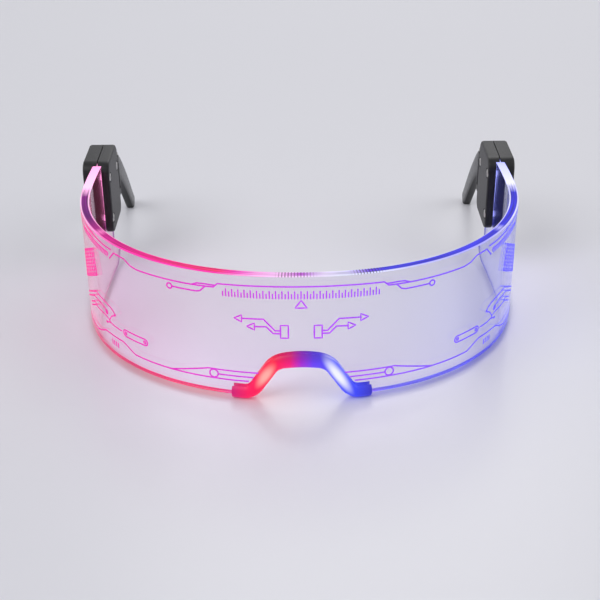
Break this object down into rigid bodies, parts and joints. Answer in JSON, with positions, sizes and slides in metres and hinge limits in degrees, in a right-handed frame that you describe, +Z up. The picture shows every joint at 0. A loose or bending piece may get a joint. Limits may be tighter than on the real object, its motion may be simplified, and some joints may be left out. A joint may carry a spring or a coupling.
{
  "type": "light up party glasses",
  "caption": "Clear wrap visor with engraved lines, edge-lit from a battery pod on each side, with a slit nose tube, folding arms and push buttons.",
  "frame": {"origin": "middle of the footprint, on the surface that the glasses stand on", "axes": "+Z up, -Y the way the visor faces, +X to the right as seen from the front"},
  "size_m": [0.1574, 0.1582, 0.0454],
  "materials": {
    "clear_acrylic": "clear polished cast acrylic, laser-engraved, with lit edges",
    "frosted_silicone": "translucent satin silicone, lit from the sheet",
    "black_plastic": "glossy moulded ABS",
    "button_plastic": "satin moulded ABS",
    "screw_steel": "nickel-plated steel",
    "contact_steel": "nickel-plated spring strip",
    "cell_steel": "polished nickel-plated can",
    "board_laminate": "glass-epoxy laminate with green solder mask",
    "chip_epoxy": "moulded epoxy",
    "lamp_resin": "white moulded lamp body",
    "switch_plastic": "moulded nylon"
  },
  "bodies": {
    "visor": {"visor_sheet": "clear_acrylic", "nose_tube": "frosted_silicone", "left_pod_outer_shell": "black_plastic", "left_pod_inner_shell": "black_plastic", "left_battery_door": "black_plastic", "left_battery_door_screw": "screw_steel", "left_cell_inner": "cell_steel", "left_cell_outer": "cell_steel", "left_contact_negative": "contact_steel", "left_contact_positive": "contact_steel", "left_circuit_board": "board_laminate", "left_driver_chip": "chip_epoxy", "left_led_upper": "lamp_resin", "left_led_lower": "lamp_resin", "left_switch_body": "switch_plastic", "left_hinge_screw": "screw_steel", "left_pod_screw_upper": "screw_steel", "left_pod_screw_lower": "screw_steel", "left_pod_screw_rear": "screw_steel", "right_pod_outer_shell": "black_plastic", "right_pod_inner_shell": "black_plastic", "right_battery_door": "black_plastic", "right_battery_door_screw": "screw_steel", "right_cell_inner": "cell_steel", "right_cell_outer": "cell_steel", "right_contact_negative": "contact_steel", "right_contact_positive": "contact_steel", "right_circuit_board": "board_laminate", "right_driver_chip": "chip_epoxy", "right_led_upper": "lamp_resin", "right_led_lower": "lamp_resin", "right_switch_body": "switch_plastic", "right_hinge_screw": "screw_steel", "right_pod_screw_upper": "screw_steel", "right_pod_screw_lower": "screw_steel", "right_pod_screw_rear": "screw_steel"},
    "left_arm_body": {"left_arm": "black_plastic"},
    "right_arm_body": {"right_arm": "black_plastic"},
    "left_button_body": {"left_button": "button_plastic", "left_switch_stem": "button_plastic"},
    "right_button_body": {"right_button": "button_plastic", "right_switch_stem": "button_plastic"}
  },
  "joints": [
    {"name": "left_arm_fold", "type": "hinge", "parent": "visor", "child": "left_arm_body", "pos_m": [-0.0704, 0.03429, 0.0314], "axis": [0, 0, -1], "range_deg": [0, 90]},
    {"name": "right_arm_fold", "type": "hinge", "parent": "visor", "child": "right_arm_body", "pos_m": [0.0704, 0.03429, 0.0314], "axis": [0, 0, 1], "range_deg": [0, 90]},
    {"name": "left_button_press", "type": "slide", "parent": "visor", "child": "left_button_body", "axis": [1, 0, 0], "range_m": [0, 0.0005], "stiffness_N_per_m": 3000},
    {"name": "right_button_press", "type": "slide", "parent": "visor", "child": "right_button_body", "axis": [-1, 0, 0], "range_m": [0, 0.0005], "stiffness_N_per_m": 3000}
  ]
}
